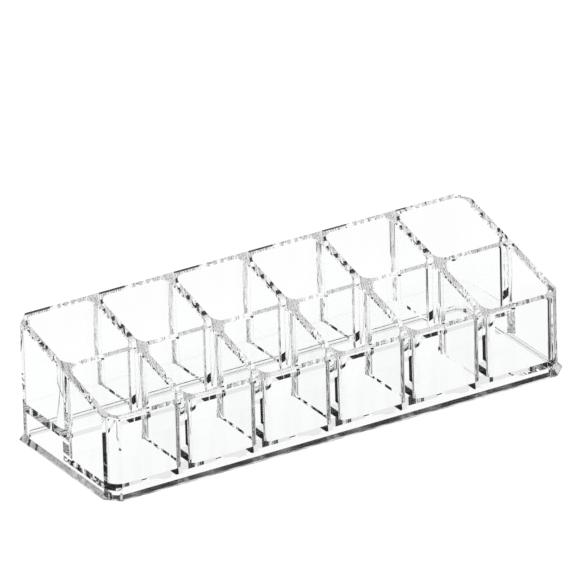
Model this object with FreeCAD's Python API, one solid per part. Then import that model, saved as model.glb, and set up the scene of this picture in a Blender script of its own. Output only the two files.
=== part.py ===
import FreeCAD
import Part
import math
import os

# Clear twelve-compartment vanity organizer with a sloping rim, in millimetres.
# X runs along the length, -Y is the low front, +Z is up; the origin is under the middle of the foot.

# Overall sizes
length = 176.0
depth = 62.8
back_height = 43.5
front_height = 28.5

# Foot: a bevelled skirt around the bottom
foot_outset = 1.2
foot_height = 2.3
foot_band_top = 0.75
foot_edge_break = 0.35
foot_corner_chamfer = 4.7

# Walls and compartments
columns = 6
outer_wall = 2.8
centre_wall = 2.6
divider = 3.0
front_row_depth = 26.8
corner_chamfer = 4.4
corner_run = 3.4
corner_spread = 2.6
rim_break = 0.4

# Floors
front_floor_top = 4.8
front_floor = 2.5
back_deck_top = 13.3
back_deck = 3.2

# How far cutting shapes reach past the solid they trim
overrun = 5.0

# Derived sizes
wall_x = length / 2 - foot_outset
wall_y = depth / 2 - foot_outset
inner_x = wall_x - outer_wall
inner_y = wall_y - outer_wall
post_x = inner_x - corner_spread
post_y = inner_y - corner_run
centre_front = front_row_depth - inner_y
centre_back = centre_front + centre_wall
pocket_width = (2 * inner_x - (columns - 1) * divider) / columns
pitch = pocket_width + divider
rim_slope = (back_height - front_height) / (2 * wall_y)
clear_of_rim = back_height + overrun
corner_radius = (corner_spread ** 2 + corner_run ** 2) / (2 * corner_spread)
corner_turn = math.atan2(corner_run, corner_radius - corner_spread)


def vec(x, y, z):
    return FreeCAD.Vector(x, y, z)


def block(x_ends, y_ends, z_ends):
    """A plain block between two values along each axis, given in any order."""
    lows = [min(ends) for ends in (x_ends, y_ends, z_ends)]
    sides = [max(ends) - min(ends) for ends in (x_ends, y_ends, z_ends)]
    return Part.makeBox(*sides, vec(*lows))


def rim_height(y):
    """Height of the sloping rim plane above the table at a distance y from the middle."""
    return front_height + rim_slope * (y + wall_y)


def octagon(half_x, half_y, chamfer, z):
    """Corner points of a rectangle with chamfered corners, anticlockwise."""
    near_x = half_x - chamfer
    near_y = half_y - chamfer
    plan = [(half_x, -near_y), (half_x, near_y), (near_x, half_y), (-near_x, half_y),
            (-half_x, near_y), (-half_x, -near_y), (-near_x, -half_y), (near_x, -half_y)]
    return [vec(x, y, z) for x, y in plan]


def stack(rings):
    """A closed solid with flat faces through outlines that lie one above the other."""
    faces = [Part.Face(Part.makePolygon(ring + ring[:1])) for ring in (rings[0], rings[-1])]
    for low, high in zip(rings, rings[1:]):
        for i in range(len(low)):
            corners = [low[i - 1], low[i], high[i], high[i - 1], low[i - 1]]
            faces.append(Part.Face(Part.makePolygon(corners)))
    solid = Part.Solid(Part.Shell(faces))
    if solid.Volume < 0:
        solid.reverse()
    return solid


def corner_arc(x, y, into_x, into_y):
    """Arc that eases a corner: tangent to the side along Y, it ends on the wall along X."""
    centre = vec(x + into_x * corner_radius, y + into_y * corner_run, 0)
    half_turn = corner_turn / 2
    on_side = vec(x, y + into_y * corner_run, 0)
    on_wall = vec(x + into_x * corner_spread, y, 0)
    middle = centre - vec(into_x * math.cos(half_turn), into_y * math.sin(half_turn), 0) * corner_radius
    return on_side, middle, on_wall


def eased_opening(x_ends, y_ends, z_ends):
    """Upright hollow with eased corners between two values along each axis."""
    (x0, x1), (y0, y1), (z0, z1) = x_ends, y_ends, z_ends
    a = corner_arc(x0, y0, 1, 1)
    b = corner_arc(x1, y0, -1, 1)
    c = corner_arc(x1, y1, -1, -1)
    d = corner_arc(x0, y1, 1, -1)
    edges = [Part.Arc(*arc).toShape() for arc in (a, b, c, d)]
    joins = [(a[2], b[2]), (b[0], c[0]), (c[2], d[2]), (d[0], a[0])]
    edges += [Part.makeLine(*ends) for ends in joins]
    wire = Part.Wire(Part.__sortEdges__(edges))
    wire.translate(vec(0, 0, z0))
    return Part.Face(wire).extrude(vec(0, 0, z1 - z0))


def column_left(column):
    """X of the left side of a column's compartments."""
    return column * pitch - inner_x


def upright_form():
    """All upright walls in one outline, cut by the rim plane, with every rim edge broken."""
    heights = (foot_height, clear_of_rim)
    form = stack([octagon(wall_x, wall_y, corner_chamfer, z) for z in heights])
    rows = ((-inner_y, centre_front), (centre_back, inner_y))
    through = (foot_height - overrun, clear_of_rim + overrun)
    for column in range(columns):
        left = column_left(column)
        for row in rows:
            form = form.cut(eased_opening((left, left + pocket_width), row, through))
    past = wall_y + overrun
    above = clear_of_rim + overrun
    side = [(-past, rim_height(-past)), (past, rim_height(past)), (past, above), (-past, above)]
    points = [vec(-wall_x - overrun, y, z) for y, z in side]
    wedge = Part.Face(Part.makePolygon(points + points[:1])).extrude(vec(2 * (wall_x + overrun), 0, 0))
    form = form.cut(wedge)
    rim = max(form.Faces, key=lambda face: face.CenterOfMass.z)
    return form.makeChamfer(rim_break, rim.Edges)


def make_foot_frame():
    """Bevelled ring that the walls stand on, open in the middle."""
    half_x = length / 2
    half_y = depth / 2
    break_chamfer = foot_corner_chamfer - foot_edge_break * (2 - math.sqrt(2))
    rings = [octagon(half_x - foot_edge_break, half_y - foot_edge_break, break_chamfer, 0),
             octagon(half_x, half_y, foot_corner_chamfer, foot_edge_break),
             octagon(half_x, half_y, foot_corner_chamfer, foot_band_top),
             octagon(wall_x, wall_y, corner_chamfer, foot_height)]
    through = (-overrun, foot_height + overrun)
    return stack(rings).cut(eased_opening((-inner_x, inner_x), (-inner_y, inner_y), through))


def make_front_floor():
    """Floor plate of the front row."""
    return block((-inner_x, inner_x), (-inner_y, centre_front), (front_floor_top - front_floor, front_floor_top))


def make_back_deck():
    """Raised floor plate of the back row, hollow underneath."""
    return block((-inner_x, inner_x), (centre_back, inner_y), (back_deck_top - back_deck, back_deck_top))


def make_long_wall(form, side):
    """Front or back wall between the corner posts; side is -1 at the front."""
    return form.common(block((-post_x, post_x), (side * inner_y, side * wall_y), (foot_height, clear_of_rim)))


def make_end_wall(form, side):
    """Left or right wall between the corner posts; side is -1 at the left."""
    return form.common(block((side * inner_x, side * wall_x), (-post_y, post_y), (foot_height, clear_of_rim)))


def make_corner(form, side_x, side_y, floors):
    """Chamfered corner post with its eased inner corner standing on the floor plate."""
    reach = block((side_x * post_x, side_x * wall_x), (side_y * post_y, side_y * wall_y), (foot_height, clear_of_rim))
    return form.common(reach).cut(floors)


def make_centre_wall(form):
    """Wall between the rows, eased into both end walls above the floor plates."""
    reach = block((-inner_x, inner_x), (centre_front, centre_back), (foot_height, clear_of_rim))
    eased = []
    for side in (-1, 1):
        across = (side * post_x, side * inner_x)
        eased.append(block(across, (centre_front - corner_run, centre_front), (front_floor_top, clear_of_rim)))
        eased.append(block(across, (centre_back, centre_back + corner_run), (back_deck_top, clear_of_rim)))
    return form.common(reach.fuse(eased).removeSplitter())


def make_divider(form, number, row, floor_top):
    """Divider between two columns of one row, eased into the walls at both ends."""
    right = column_left(number)
    reach = (right - divider - corner_spread, right + corner_spread)
    return form.common(block(reach, row, (floor_top, clear_of_rim)))


def make_pieces():
    """Every piece by name, in its place."""
    form = upright_form()
    front_plate = make_front_floor()
    deck_plate = make_back_deck()
    floors = [front_plate, deck_plate]
    pieces = {"foot_frame": make_foot_frame(), "front_floor": front_plate, "back_deck": deck_plate,
              "front_wall": make_long_wall(form, -1), "back_wall": make_long_wall(form, 1),
              "left_end_wall": make_end_wall(form, -1), "right_end_wall": make_end_wall(form, 1),
              "centre_wall": make_centre_wall(form)}
    for row, side_y in (("front", -1), ("back", 1)):
        for end, side_x in (("left", -1), ("right", 1)):
            pieces[row + "_" + end + "_corner"] = make_corner(form, side_x, side_y, floors)
    for number in range(1, columns):
        pieces["front_divider_%d" % number] = make_divider(form, number, (-inner_y, centre_front), front_floor_top)
        pieces["back_divider_%d" % number] = make_divider(form, number, (centre_back, inner_y), back_deck_top)
    return pieces


def mark_joints(pieces):
    """The same solids with each cemented joint marked off as a face of its own."""
    solids = [shape.Solids[0] for shape in pieces.values()]
    history = solids[0].generalFuse(solids[1:])[1]
    return {name: made[0] for name, made in zip(pieces, history)}


os.makedirs("parts", exist_ok=True)
for name, solid in mark_joints(make_pieces()).items():
    solid.exportStep("parts/" + name + ".step")
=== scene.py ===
import math

import bpy
import numpy as np
from mathutils import Matrix, Vector


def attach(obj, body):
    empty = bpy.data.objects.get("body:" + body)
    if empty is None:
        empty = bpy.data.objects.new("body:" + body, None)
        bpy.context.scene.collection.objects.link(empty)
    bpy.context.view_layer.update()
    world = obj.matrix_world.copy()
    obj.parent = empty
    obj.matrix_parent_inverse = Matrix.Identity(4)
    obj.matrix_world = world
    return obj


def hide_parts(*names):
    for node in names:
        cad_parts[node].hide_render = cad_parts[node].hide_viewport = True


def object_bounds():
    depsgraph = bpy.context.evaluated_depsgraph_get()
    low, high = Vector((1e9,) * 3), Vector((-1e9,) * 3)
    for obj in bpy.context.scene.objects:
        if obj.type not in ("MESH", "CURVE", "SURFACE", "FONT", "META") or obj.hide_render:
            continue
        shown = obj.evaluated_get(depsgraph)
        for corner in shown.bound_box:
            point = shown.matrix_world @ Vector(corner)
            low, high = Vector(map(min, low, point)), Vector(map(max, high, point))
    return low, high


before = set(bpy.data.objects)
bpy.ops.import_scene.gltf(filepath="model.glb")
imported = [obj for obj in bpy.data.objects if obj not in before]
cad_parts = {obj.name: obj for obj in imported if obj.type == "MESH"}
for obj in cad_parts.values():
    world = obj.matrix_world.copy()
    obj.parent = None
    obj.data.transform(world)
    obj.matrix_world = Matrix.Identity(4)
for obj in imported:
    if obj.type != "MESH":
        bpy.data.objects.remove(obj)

bl_info = {
    "name": "Clear Vanity Organizer",
    "version": (1, 0, 0),
    "blender": (4, 5, 0),
    "location": "3D View > Sidebar > Organizer",
    "description": "Dresses the vanity organizer's panels in clear acrylic and lights them in a studio",
    "category": "Object",
}

CAD_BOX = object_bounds()
BODY = "root"

FOOT_AND_FLOORS = ("foot_frame", "front_floor", "back_deck")
OUTER_WALLS = ("front_wall", "back_wall", "left_end_wall", "right_end_wall")
CORNER_POSTS = tuple(name for name in sorted(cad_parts) if name.endswith("_corner"))
DIVIDERS = tuple(name for name in sorted(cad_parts) if "_divider_" in name) + ("centre_wall",)

# Acrylic and cement: how their patterns vary, and the reflection from which light counts as trapped
WHITE = (1.0, 1.0, 1.0)
CEMENT = (0.99, 0.99, 0.99)
RIPPLE_NOISE = {"Detail": 1.0, "Roughness": 0.4}
MARKS_PER_RIPPLE = 3
MARK_NOISE = {"Detail": 4.0, "Roughness": 0.6}
SPECKS_PER_RIPPLE = 6
SPECK_NOISE = {"Detail": 2.0}
FULL_MIRROR = 0.999

# Joints: their two faces look opposite ways and lie this near to each other, in metres
JOINT_REACH = 2e-6
OPPOSITE = -0.9999
MERGE_DECIMALS = 8
TINY = 1e-30

# Studio: the room's shades in the order of its material slots, and the fineness of its surfaces
SHADES = ("dark", "white", "sweep", "softbox", "flag")
# Glossy depth past which a path has been reflected inside the acrylic, where the flags show their painted
# shade
REFLECTED = 0.5
ROOM_RINGS = 181
ROOM_STEPS = 180
FLOOR_RINGS = 24
FLOOR_STEPS = 144
CLIP_END = 100.0


def angles(*degrees):
    """Angles given in degrees, in radians."""
    return tuple(math.radians(angle) for angle in degrees)


class AcrylicSettings(bpy.types.PropertyGroup):
    """Finish of the clear acrylic."""

    bend: bpy.props.FloatProperty(
        name="Refraction", description="How strongly the acrylic bends light", default=1.49, min=1.3,
        max=1.7)
    tint: bpy.props.FloatVectorProperty(
        name="Tint", description="Colour that light keeps when it crosses a surface", subtype="COLOR",
        size=3, min=0.0, max=1.0, default=(0.996, 0.998, 0.998))
    sparkle: bpy.props.FloatProperty(
        name="Sparkle", description="Strength of the reflections on faces that light also passes",
        subtype="FACTOR", default=0.15, min=0.0, max=1.0)
    lamp_share: bpy.props.FloatProperty(
        name="Lamp light let through",
        description="Share of a lamp's light that reaches the table through the panels", subtype="FACTOR",
        default=0.93, min=0.0, max=1.0)
    satin: bpy.props.FloatProperty(
        name="Satin foot", description="Roughness of the foot, which is left less polished than the walls",
        subtype="FACTOR", default=0.08, min=0.0, max=1.0)
    satin_height: bpy.props.FloatProperty(
        name="Satin height", description="Height above the table up to which faces are satin",
        subtype="DISTANCE", unit="LENGTH", precision=5, default=0.00225, min=0.0, max=0.01)
    handling: bpy.props.FloatProperty(
        name="Handling marks", description="Roughness that handling adds in faint patches",
        subtype="FACTOR", default=0.002, min=0.0, max=0.2)
    scuff: bpy.props.FloatProperty(
        name="Scuffed underside",
        description="Roughness that sliding on the table adds to the face it rests on", subtype="FACTOR",
        default=0.06, min=0.0, max=1.0)
    scuff_height: bpy.props.FloatProperty(
        name="Scuff height", description="Height above the table up to which faces are scuffed",
        subtype="DISTANCE", unit="LENGTH", precision=5, default=0.00005, min=0.0, max=0.001)
    ripple: bpy.props.FloatProperty(
        name="Ripple height", description="Height of the slow waves that moulding leaves in a face",
        subtype="DISTANCE", unit="LENGTH", precision=7, default=0.0000005, min=0.0, max=0.001)
    ripple_size: bpy.props.FloatProperty(
        name="Ripple size", description="Width of one slow wave", subtype="DISTANCE", unit="LENGTH",
        precision=4, default=0.012, min=0.001, max=0.1)
    crease: bpy.props.FloatProperty(
        name="Crease angle", description="Faces that meet at less than this are shaded as one curve",
        subtype="ANGLE", default=math.radians(30), min=0.0, max=math.pi)


class StudioSettings(bpy.types.PropertyGroup):
    """Pale floor with a window under the organizer, in a dark room with a sweep, a softbox and flags of
    painted shade.
    """

    floor_radius: bpy.props.FloatProperty(
        name="Floor radius", description="Radius of the pale floor", subtype="DISTANCE", unit="LENGTH",
        default=4.0)
    floor_drop: bpy.props.FloatProperty(
        name="Floor gap", description="Gap between the floor and the foot", subtype="DISTANCE",
        unit="LENGTH", precision=5, default=0.0002)
    window_inset: bpy.props.FloatProperty(
        name="Window inset",
        description="How far inside the foot's outline the floor opens to the glass window",
        subtype="DISTANCE", unit="LENGTH", precision=4, default=0.004)
    floor_glow: bpy.props.FloatProperty(
        name="Floor white", description="Share of the floor's white that shadows don't reach",
        subtype="FACTOR", default=0.8, min=0.0, max=1.0)
    floor_colour: bpy.props.FloatVectorProperty(
        name="Floor colour", description="Colour of the floor where lamps light it", subtype="COLOR",
        size=3, min=0.0, max=1.0, default=(0.95, 0.95, 0.95))
    room_radius: bpy.props.FloatProperty(
        name="Room radius", description="Radius of the dark room", subtype="DISTANCE", unit="LENGTH",
        default=3.0)
    room_colour: bpy.props.FloatVectorProperty(
        name="Room colour", description="Colour of the dark room", subtype="COLOR", size=3, min=0.0,
        max=1.0, default=(0.02, 0.02, 0.021))
    # Painted shade: the white below the floor darkens towards this colour straight down, so the acrylic looks
    # darker from above
    painted_shade_colour: bpy.props.FloatVectorProperty(
        name="Painted shade colour",
        description="Colour straight below the window, which the floors show from above", subtype="COLOR",
        size=3, min=0.0, max=1.0, default=(0.7, 0.7, 0.7))
    sweep: bpy.props.FloatVectorProperty(
        name="Sweep",
        description="Direction of the white sweep's middle from the X axis, half width, bottom and top",
        subtype="NONE", unit="ROTATION", size=4, default=angles(59, 14, 0, 33))
    sweep_colour: bpy.props.FloatVectorProperty(
        name="Sweep colour", description="Colour of the sweep in the acrylic", subtype="COLOR", size=3,
        min=0.0, max=1.0, default=(0.85, 0.85, 0.85))
    softbox: bpy.props.FloatVectorProperty(
        name="Softbox",
        description="Direction of the softbox's middle from the X axis, half width, bottom and top",
        subtype="NONE", unit="ROTATION", size=4, default=angles(252, 64, 14, 62))
    softbox_colour: bpy.props.FloatVectorProperty(
        name="Softbox colour", description="Colour of the softbox in the acrylic", subtype="COLOR", size=3,
        min=0.0, max=1.0, default=(1.0, 1.0, 1.0))
    # Flags and the dark card: painted shade, dark only in the acrylic's inner reflections
    right_flag: bpy.props.FloatVectorProperty(
        name="Right flag", description="Dark flag under the window: direction, half width, bottom and top",
        subtype="NONE", unit="ROTATION", size=4, default=angles(23, 20, -42, 0))
    left_flag: bpy.props.FloatVectorProperty(
        name="Left flag", description="Dark flag under the window: direction, half width, bottom and top",
        subtype="NONE", unit="ROTATION", size=4, default=angles(115, 16, -42, 0))
    low_flag: bpy.props.FloatVectorProperty(
        name="Low flag", description="Dark flag under the window: direction, half width, bottom and top",
        subtype="NONE", unit="ROTATION", size=4, default=angles(45, 25, -56, -42))
    card_gap: bpy.props.FloatProperty(
        name="Card gap", description="Gap between the foot and the dark card", subtype="DISTANCE",
        unit="LENGTH", precision=4, default=0.001)
    card_depth: bpy.props.FloatProperty(
        name="Card depth", description="How far the dark card reaches to the front", subtype="DISTANCE",
        unit="LENGTH", default=0.026)
    card_reach: bpy.props.FloatProperty(
        name="Card reach", description="How far the dark card reaches past the ends", subtype="DISTANCE",
        unit="LENGTH", default=0.08)
    lamp_power: bpy.props.FloatProperty(
        name="Lamp", description="Power of the large lamp overhead", subtype="POWER", unit="POWER",
        default=30.0)
    lamp_size: bpy.props.FloatProperty(
        name="Lamp size", description="Diameter of the lamp overhead", subtype="DISTANCE", unit="LENGTH",
        default=1.6)
    lamp_place: bpy.props.FloatVectorProperty(
        name="Lamp place", description="Where the lamp overhead hangs", subtype="XYZ", unit="LENGTH",
        size=3, default=(-0.3, 0.2, 1.6))
    fill: bpy.props.FloatProperty(
        name="Fill", description="Strength of the soft light from all around", default=0.6, min=0.0,
        max=1.0)
    bounces: bpy.props.IntProperty(
        name="Bounces", description="How often light may turn inside the clear walls", default=64, min=1,
        max=1024)


class CameraSettings(bpy.types.PropertyGroup):
    """The photograph's viewpoint."""

    azimuth: bpy.props.FloatProperty(
        name="Azimuth", description="Turn of the camera about the object, from the front", subtype="ANGLE",
        default=math.radians(-30.649))
    elevation: bpy.props.FloatProperty(
        name="Elevation", description="Height angle of the camera", subtype="ANGLE",
        default=math.radians(24.981))
    roll: bpy.props.FloatProperty(
        name="Roll", description="Turn of the camera about its own axis", subtype="ANGLE",
        default=math.radians(-1.63))
    distance: bpy.props.FloatProperty(
        name="Distance", description="Distance from the camera to the point that it looks at",
        subtype="DISTANCE", unit="LENGTH", default=3.6993)
    aim_right: bpy.props.FloatProperty(
        name="Aim right", description="How far right of the origin the camera looks", subtype="DISTANCE",
        unit="LENGTH", precision=5, default=-0.00142)
    aim_up: bpy.props.FloatProperty(
        name="Aim up", description="How far above the origin, across the view, the camera looks",
        subtype="DISTANCE", unit="LENGTH", precision=5, default=0.03813)
    lens: bpy.props.FloatProperty(
        name="Lens", description="Focal length on a 36 mm wide sensor, in millimetres", default=704.5)
    sensor: bpy.props.FloatProperty(
        name="Sensor", description="Width of the sensor, in millimetres", default=36.0)


class Term:
    """A shader socket that can stand in a Python sum; each operation adds a Math node."""

    def __init__(self, tree, socket):
        self.tree = tree
        self.socket = socket

    def combine(self, operation, first, second):
        node = self.tree.node("ShaderNodeMath", {"operation": operation}, {0: first, 1: second})
        return Term(self.tree, node.outputs[0])

    def __add__(self, other):
        return self.combine("ADD", self, other)

    def __radd__(self, other):
        return self.combine("ADD", other, self)

    def __sub__(self, other):
        return self.combine("SUBTRACT", self, other)

    def __rsub__(self, other):
        return self.combine("SUBTRACT", other, self)

    def __gt__(self, other):
        return self.combine("GREATER_THAN", self, other)

    def __lt__(self, other):
        return self.combine("LESS_THAN", self, other)

    def __mul__(self, other):
        return self.combine("MULTIPLY", self, other)

    def __rmul__(self, other):
        return self.combine("MULTIPLY", other, self)


class Tree:
    """A material's or the world's empty node tree, with one method that adds any node."""

    def __init__(self, owner):
        owner.use_nodes = True
        self.tree = owner.node_tree
        self.tree.nodes.clear()

    def node(self, kind, settings=None, values=None):
        """Adds a node, sets its settings first and then the values or links of its sockets."""
        node = self.tree.nodes.new(kind)
        for name, value in (settings or {}).items():
            setattr(node, name, value)
        for key, value in (values or {}).items():
            self.join(node.inputs[key], value)
        return node

    def join(self, socket, value):
        """Links a socket to a Term, or sets it to a plain value."""
        if isinstance(value, Term):
            self.tree.links.new(value.socket, socket)
        else:
            socket.default_value = value

    def term(self, node, output=0):
        return Term(self, node.outputs[output])


def opaque(colour):
    """A colour with full alpha, as shader sockets want it."""
    return (*colour, 1.0)


def polished_acrylic(settings):
    """Clear acrylic with slow ripples, faint handling marks, a satin foot and a scuffed underside.
    Lamps reach through it."""
    material = bpy.data.materials.new("polished_acrylic")
    tree = Tree(material)
    place = tree.term(tree.node("ShaderNodeTexCoord"), "Object")
    waves = tree.node("ShaderNodeTexNoise", None,
                      {"Vector": place, "Scale": 1 / settings.ripple_size, **RIPPLE_NOISE})
    marks = tree.node("ShaderNodeTexNoise", None,
                      {"Vector": place, "Scale": MARKS_PER_RIPPLE / settings.ripple_size, **MARK_NOISE})
    bump = tree.node("ShaderNodeBump", None,
                     {"Height": tree.term(waves), "Distance": settings.ripple, "Strength": 1.0})
    ripple = tree.term(bump)
    worn = tree.term(marks)
    height = tree.term(tree.node("ShaderNodeSeparateXYZ", None, {"Vector": place}), "Z")
    satin = (height < settings.satin_height) * settings.satin
    rough = worn * settings.handling + satin + (height < settings.scuff_height) * settings.scuff
    mix = tree.node("ShaderNodeMix", {"data_type": "RGBA"},
                    {"Factor": worn, "A": opaque(settings.tint), "B": opaque(WHITE)})
    tint = tree.term(mix, "Result")
    polish = {"Roughness": rough, "IOR": settings.bend, "Normal": ripple}
    glass = tree.node("ShaderNodeBsdfPrincipled", None,
                      {"Base Color": tint, "Transmission Weight": 1.0, **polish})
    plain = tree.node("ShaderNodeBsdfRefraction", None, {"Color": opaque(settings.tint), **polish})
    facing = tree.node("ShaderNodeFresnel", None, {"IOR": settings.bend, "Normal": ripple})
    trapped = tree.term(facing) > FULL_MIRROR
    mirror = trapped + (1 - trapped) * settings.sparkle
    clear = tree.node("ShaderNodeMixShader", None, {0: mirror, 1: tree.term(plain), 2: tree.term(glass)})
    through = tree.node("ShaderNodeBsdfTransparent", None, {"Color": opaque((settings.lamp_share,) * 3)})
    lamps = tree.term(tree.node("ShaderNodeLightPath"), "Is Shadow Ray")
    surface = tree.node("ShaderNodeMixShader", None, {0: lamps, 1: tree.term(clear), 2: tree.term(through)})
    tree.node("ShaderNodeOutputMaterial", None, {"Surface": tree.term(surface)})
    return material


def cement_joint(settings):
    """Cement of the acrylic's own refraction: light crosses a joint unbent, past a few faint specks."""
    material = bpy.data.materials.new("cement_joint")
    tree = Tree(material)
    place = tree.term(tree.node("ShaderNodeTexCoord"), "Object")
    specks = tree.node("ShaderNodeTexNoise", None,
                       {"Vector": place, "Scale": SPECKS_PER_RIPPLE / settings.ripple_size, **SPECK_NOISE})
    film, bare = (tree.node("ShaderNodeBsdfTransparent", None, {"Color": opaque(colour)})
                  for colour in (CEMENT, WHITE))
    clear = tree.node("ShaderNodeMixShader", None,
                      {0: tree.term(specks), 1: tree.term(film), 2: tree.term(bare)})
    tree.node("ShaderNodeOutputMaterial", None, {"Surface": tree.term(clear)})
    return material


def shared_material(name, make):
    """The named material, made on its first use."""
    return bpy.data.materials.get(name) or make(bpy.context.scene.organizer_acrylic)


def node_triangles(node):
    """Corners of a CAD node's triangles as an array of triangle, corner and axis."""
    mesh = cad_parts[node].data
    points = np.empty(len(mesh.vertices) * 3)
    mesh.vertices.foreach_get("co", points)
    mesh.calc_loop_triangles()
    corners = np.empty(len(mesh.loop_triangles) * 3, np.int32)
    mesh.loop_triangles.foreach_get("vertices", corners)
    return points.reshape(-1, 3)[corners].reshape(-1, 3, 3)


def unit_normals(triangles):
    """Cross product of two sides of each triangle, scaled to length 1."""
    cross = np.cross(triangles[:, 1] - triangles[:, 0], triangles[:, 2] - triangles[:, 0])
    return cross / np.maximum(np.linalg.norm(cross, axis=1, keepdims=True), TINY)


def on_joint(triangles, others):
    """True for each triangle whose centre lies on a triangle of another piece that faces the opposite way.
    A centre lies on a triangle if its height above that plane is nil and it is left of all three sides."""
    centres = triangles.mean(axis=1)
    facing = unit_normals(others)
    opposite = unit_normals(triangles) @ facing.T < OPPOSITE
    heights = centres @ facing.T - np.einsum("ij,ij->i", others[:, 0], facing)
    mine, theirs = np.nonzero(opposite & (np.abs(heights) < JOINT_REACH))
    inside = np.ones(len(mine), bool)
    for corner in range(3):
        start = others[theirs, corner]
        side = others[theirs, (corner + 1) % 3] - start
        turn = np.cross(side, centres[mine] - start)
        inside &= np.einsum("ij,ij->i", turn, facing[theirs]) > -JOINT_REACH * np.linalg.norm(side, axis=1)
    joined = np.zeros(len(triangles), bool)
    joined[mine[inside]] = True
    return joined


def clear_panel(node):
    """A CAD node's triangles with equal corners merged, its curves shaded smooth and its joints marked."""
    triangles = node_triangles(node)
    others = np.concatenate([node_triangles(other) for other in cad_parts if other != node])
    joined = on_joint(triangles, others)
    points, corners = np.unique(triangles.reshape(-1, 3).round(MERGE_DECIMALS), axis=0, return_inverse=True)
    corners = corners.reshape(-1, 3)
    whole = (corners != np.roll(corners, 1, axis=1)).all(axis=1)
    mesh = bpy.data.meshes.new(node + "_panel")
    mesh.from_pydata(points, [], corners[whole])
    mesh.polygons.foreach_set("material_index", joined[whole].astype(np.int32))
    mesh.polygons.foreach_set("use_smooth", np.ones(len(mesh.polygons), bool))
    mesh.set_sharp_from_angle(angle=bpy.context.scene.organizer_acrylic.crease)
    mesh.materials.append(shared_material("polished_acrylic", polished_acrylic))
    mesh.materials.append(shared_material("cement_joint", cement_joint))
    panel = bpy.data.objects.new(node + "_panel", mesh)
    bpy.context.scene.collection.objects.link(panel)
    weigh = panel.modifiers.new("Flat faces lead", "WEIGHTED_NORMAL")
    weigh.keep_sharp = True
    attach(panel, BODY)
    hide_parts(node)
    return panel


def stage_object(name, points, faces, shades, zones=0):
    """A mesh of the studio, which is not part of the organizer; zones pick a shade for each face."""
    mesh = bpy.data.meshes.new(name)
    mesh.from_pydata(points, [], faces)
    for shade in shades:
        mesh.materials.append(shade)
    mesh.polygons.foreach_set("material_index", np.broadcast_to(zones, len(mesh.polygons)).astype(np.int32))
    thing = bpy.data.objects.new(name, mesh)
    bpy.context.scene.collection.objects.link(thing)
    return thing


def ring_faces(rings, steps):
    """Four-cornered faces between neighbouring rings of points, as an array of ring, step and corner."""
    index = np.arange(rings * steps).reshape(rings, steps)
    ahead = np.roll(index, -1, axis=1)
    return np.stack([index[:-1], ahead[:-1], ahead[1:], index[1:]], axis=-1)


def turned_surface(radii, heights, steps):
    """Profile of radii and heights turned about the Z axis in equal steps: points and rings of faces."""
    turns = np.linspace(0, 2 * math.pi, steps, endpoint=False)
    x = np.outer(radii, np.cos(turns))
    y = np.outer(radii, np.sin(turns))
    z = np.repeat(heights, steps).reshape(len(radii), steps)
    return np.stack([x, y, z], axis=-1).reshape(-1, 3), ring_faces(len(radii), steps)


def floor_surface(settings):
    """Rings of points that grow, with the cube of their share, from the window under the foot to a circle."""
    half_x, half_y = (high - settings.window_inset for high in CAD_BOX[1][:2])
    turn = (np.arange(FLOOR_STEPS) + 0.5) * 2 * math.pi / FLOOR_STEPS
    window = np.minimum(half_x / np.abs(np.cos(turn)), half_y / np.abs(np.sin(turn)))
    share = np.linspace(0, 1, FLOOR_RINGS)[:, None] ** 3
    radius = window + (settings.floor_radius - window) * share
    level = np.full(radius.shape, -settings.floor_drop)
    points = np.stack([radius * np.cos(turn), radius * np.sin(turn), level], axis=-1)
    return points.reshape(-1, 3), ring_faces(*radius.shape).reshape(-1, 4)


def patch(turn, rise, ends):
    """True where a direction lies within a half width of a patch's middle and between its bottom and top."""
    middle, spread, low, high = ends
    aside = np.abs((turn - middle + math.pi) % (2 * math.pi) - math.pi)
    return (aside < spread) & (rise > low) & (rise < high)


def room_surface(settings):
    """Sphere of elevations and directions, with a shade for each face: dark above the floor and white below
    it, with painted shade straight down, but for the patches of the sweep, the softbox and the flags."""
    rise = np.radians(np.linspace(-90, 90, ROOM_RINGS))
    radius = settings.room_radius
    points, faces = turned_surface(radius * np.cos(rise), radius * np.sin(rise), ROOM_STEPS)
    rise = 0.5 * (rise[:-1] + rise[1:])[:, None]
    turn = (np.arange(ROOM_STEPS) + 0.5)[None, :] * 2 * math.pi / ROOM_STEPS
    below = np.broadcast_to(rise < 0, (len(rise), ROOM_STEPS))
    # Below the floor: white that darkens straight down with painted shade
    zones = np.where(below, SHADES.index("white"), SHADES.index("dark"))
    zones[patch(turn, rise, settings.sweep)] = SHADES.index("sweep")
    zones[patch(turn, rise, settings.softbox)] = SHADES.index("softbox")
    # Flags of painted shade, dark only in inner reflections
    for flag in (settings.right_flag, settings.left_flag, settings.low_flag):
        zones[patch(turn, rise, flag)] = SHADES.index("flag")
    return points, faces.reshape(-1, 4), zones.reshape(-1)


def card_surface(settings):
    """Flat card in front of the foot that also covers the floor past its front right corner, up to the
    line of sight. Like the flags, it is painted shade that is dark only in inner reflections."""
    low, high = CAD_BOX
    left = low[0] - settings.card_reach
    right = high[0] + settings.card_reach
    front = low[1] - settings.card_depth
    near = low[1] - settings.card_gap
    side = high[0] + settings.card_gap
    back = near + settings.card_reach * math.tan(settings.sweep[0])
    z = -settings.floor_drop / 2
    points = [(left, front, z), (side, front, z), (right, front, z),
              (right, back, z), (side, near, z), (left, near, z)]
    return points, [(0, 1, 4, 5), (1, 2, 3, 4)]


def seen_rays(tree):
    """1 for rays that show the background: straight to the camera, mirrored or through glass."""
    path = tree.node("ShaderNodeLightPath")
    seen = tree.term(path, "Is Camera Ray") + tree.term(path, "Is Glossy Ray")
    return seen + tree.term(path, "Is Transmission Ray")


def glow(tree, colour):
    """Glow of a studio surface in a colour, at the strength that renders the colour as it is written."""
    return tree.term(tree.node("ShaderNodeEmission", None, {"Color": opaque(colour), "Strength": 1.0}))


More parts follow.
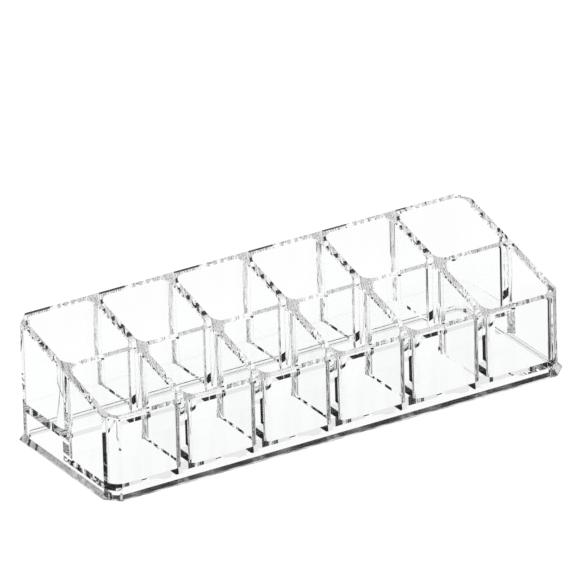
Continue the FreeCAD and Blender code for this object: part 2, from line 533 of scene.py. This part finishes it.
def white_floor(settings):
    """Pale floor: most of its white is even, and the rest is lit by the lamps and takes the shadow."""
    material = bpy.data.materials.new("white_floor")
    tree = Tree(material)
    lit = tree.node("ShaderNodeBsdfDiffuse", None, {"Color": opaque(settings.floor_colour)})
    share = seen_rays(tree) * settings.floor_glow
    surface = tree.node("ShaderNodeMixShader", None, {0: share, 1: tree.term(lit), 2: glow(tree, WHITE)})
    tree.node("ShaderNodeOutputMaterial", None, {"Surface": tree.term(surface)})
    return material


def even_shade(name, colour):
    """Even shade of a studio surface that only shows in the acrylic."""
    material = bpy.data.materials.new(name)
    tree = Tree(material)
    tree.node("ShaderNodeOutputMaterial", None, {"Surface": glow(tree, colour)})
    return material


def white_with_painted_shade(settings):
    """White below the floor that darkens towards the painted shade colour with the fourth power of the sine
    of
    the angle down: painted shade, so that the acrylic looks a little darker from above than the table beside
    it."""
    material = bpy.data.materials.new("white_with_painted_shade")
    tree = Tree(material)
    place = tree.term(tree.node("ShaderNodeTexCoord"), "Object")
    height = tree.term(tree.node("ShaderNodeSeparateXYZ", None, {"Vector": place}), "Z")
    down = height * (1 / settings.room_radius)
    square = down * down
    fade = tree.node("ShaderNodeMixShader", None,
                     {0: square * square, 1: glow(tree, WHITE), 2: glow(tree, settings.painted_shade_colour)})
    tree.node("ShaderNodeOutputMaterial", None, {"Surface": tree.term(fade)})
    return material


def flag_painted_shade(settings):
    """Painted shade: dark in inner reflections, white where light only passes through, so floors stay pale.
    """
    material = bpy.data.materials.new("flag")
    tree = Tree(material)
    reflections = tree.term(tree.node("ShaderNodeLightPath"), "Glossy Depth")
    shade = tree.node("ShaderNodeMixShader", None,
                      {0: reflections > REFLECTED, 1: glow(tree, WHITE), 2: glow(tree, settings.room_colour)})
    tree.node("ShaderNodeOutputMaterial", None, {"Surface": tree.term(shade)})
    return material


def hide_from_lamps(thing):
    """Keeps a studio object out of the picture and out of the light, so that only the acrylic shows it."""
    thing.visible_camera = False
    thing.visible_diffuse = False
    thing.visible_shadow = False


def white_world(settings):
    """White behind everything, for the rays that show the background, and soft grey fill for the rest."""
    world = bpy.data.worlds.new("white_studio")
    tree = Tree(world)
    strength = seen_rays(tree) * (1 - settings.fill) + settings.fill
    even = tree.node("ShaderNodeBackground", None, {"Color": opaque(WHITE), "Strength": strength})
    tree.node("ShaderNodeOutputWorld", None, {"Surface": tree.term(even)})
    bpy.context.scene.world = world


def overhead_lamp(settings):
    """Large soft lamp that looks at the origin and doesn't show in the acrylic."""
    light = bpy.data.lights.new("overhead_lamp", "AREA")
    light.shape = "DISK"
    light.size = settings.lamp_size
    light.energy = settings.lamp_power
    lamp = bpy.data.objects.new("overhead_lamp", light)
    lamp.location = settings.lamp_place
    lamp.rotation_euler = lamp.location.to_track_quat("Z", "Y").to_euler()
    lamp.visible_camera = False
    lamp.visible_glossy = False
    lamp.visible_transmission = False
    bpy.context.scene.collection.objects.link(lamp)


class ORGANIZER_OT_foot_and_floors(bpy.types.Operator):
    """Dress the bevelled foot and both floor plates in clear acrylic"""

    bl_idname = "organizer.foot_and_floors"
    bl_label = "Foot and Floors"

    def execute(self, context):
        for node in FOOT_AND_FLOORS:
            clear_panel(node)
        return {"FINISHED"}


class ORGANIZER_OT_outer_walls(bpy.types.Operator):
    """Dress the four outer walls in clear acrylic"""

    bl_idname = "organizer.outer_walls"
    bl_label = "Outer Walls"

    def execute(self, context):
        for node in OUTER_WALLS:
            clear_panel(node)
        return {"FINISHED"}


class ORGANIZER_OT_corner_posts(bpy.types.Operator):
    """Dress the chamfered corner posts in clear acrylic"""

    bl_idname = "organizer.corner_posts"
    bl_label = "Corner Posts"

    def execute(self, context):
        for node in CORNER_POSTS:
            clear_panel(node)
        return {"FINISHED"}


class ORGANIZER_OT_dividers(bpy.types.Operator):
    """Dress the centre wall and the dividers in clear acrylic"""

    bl_idname = "organizer.dividers"
    bl_label = "Dividers"

    def execute(self, context):
        for node in DIVIDERS:
            clear_panel(node)
        return {"FINISHED"}


class ORGANIZER_OT_studio(bpy.types.Operator):
    """Set the organizer on a pale floor in a dark room, with a sweep, a softbox, and flags and a card of
    painted shade
    """

    bl_idname = "organizer.studio"
    bl_label = "Studio"

    def execute(self, context):
        scene = context.scene
        settings = scene.organizer_studio
        points, faces = floor_surface(settings)
        stage_object("white_floor", points, faces, [white_floor(settings)])
        # Painted shade for the flags and the dark card: dark only in inner reflections
        flag = flag_painted_shade(settings)
        # The white below the floor carries painted shade that darkens it straight down
        shades = [even_shade("dark", settings.room_colour), white_with_painted_shade(settings),
                  even_shade("sweep", settings.sweep_colour),
                  even_shade("softbox", settings.softbox_colour), flag]
        points, faces, zones = room_surface(settings)
        hide_from_lamps(stage_object("studio_room", points, faces, shades, zones))
        # Dark card of painted shade in front of the foot
        points, faces = card_surface(settings)
        hide_from_lamps(stage_object("dark_card", points, faces, [flag]))
        white_world(settings)
        overhead_lamp(settings)
        scene.view_settings.view_transform = "Standard"
        scene.cycles.max_bounces = settings.bounces
        scene.cycles.glossy_bounces = settings.bounces
        scene.cycles.transmission_bounces = settings.bounces
        scene.cycles.transparent_max_bounces = settings.bounces
        return {"FINISHED"}


class ORGANIZER_OT_camera(bpy.types.Operator):
    """Put the camera at the photograph's viewpoint"""

    bl_idname = "organizer.camera"
    bl_label = "Camera"

    def execute(self, context):
        scene = context.scene
        settings = scene.organizer_camera
        turn = settings.azimuth
        rise = settings.elevation
        back = Vector((math.sin(turn) * math.cos(rise), -math.cos(turn) * math.cos(rise), math.sin(rise)))
        level = Vector((math.cos(turn), math.sin(turn), 0.0))
        right = Matrix.Rotation(settings.roll, 3, back) @ level
        up = back.cross(right)
        aim = right * settings.aim_right + up * settings.aim_up
        view = bpy.data.cameras.new("photo_camera")
        view.lens = settings.lens
        view.sensor_width = settings.sensor
        view.clip_end = CLIP_END
        camera = bpy.data.objects.new("photo_camera", view)
        axes = Matrix((right, up, back)).transposed().to_4x4()
        camera.matrix_world = Matrix.Translation(aim + back * settings.distance) @ axes
        scene.collection.objects.link(camera)
        scene.camera = camera
        return {"FINISHED"}


class ORGANIZER_PT_panel(bpy.types.Panel):
    """Lists the organizer's settings and steps"""

    bl_idname = "ORGANIZER_PT_panel"
    bl_label = "Vanity Organizer"
    bl_space_type = "VIEW_3D"
    bl_region_type = "UI"
    bl_category = "Organizer"

    def draw(self, context):
        for key in SETTINGS:
            group = getattr(context.scene, key)
            box = self.layout.box()
            for name in group.__annotations__:
                box.prop(group, name)
        for operator in OPERATORS:
            self.layout.operator(operator.bl_idname)


SETTINGS = {"organizer_acrylic": AcrylicSettings, "organizer_studio": StudioSettings,
            "organizer_camera": CameraSettings}
OPERATORS = (ORGANIZER_OT_foot_and_floors, ORGANIZER_OT_outer_walls, ORGANIZER_OT_corner_posts,
             ORGANIZER_OT_dividers, ORGANIZER_OT_studio, ORGANIZER_OT_camera)


def register():
    for cls in (*SETTINGS.values(), *OPERATORS, ORGANIZER_PT_panel):
        bpy.utils.register_class(cls)
    for name, group in SETTINGS.items():
        setattr(bpy.types.Scene, name, bpy.props.PointerProperty(type=group))


def unregister():
    for name in SETTINGS:
        delattr(bpy.types.Scene, name)
    for cls in (ORGANIZER_PT_panel, *reversed(OPERATORS), *reversed(SETTINGS.values())):
        bpy.utils.unregister_class(cls)


def main():
    register()
    bpy.ops.organizer.foot_and_floors()
    bpy.ops.organizer.outer_walls()
    bpy.ops.organizer.corner_posts()
    bpy.ops.organizer.dividers()
    bpy.ops.organizer.studio()
    bpy.ops.organizer.camera()


if __name__ == "__main__":
    main()
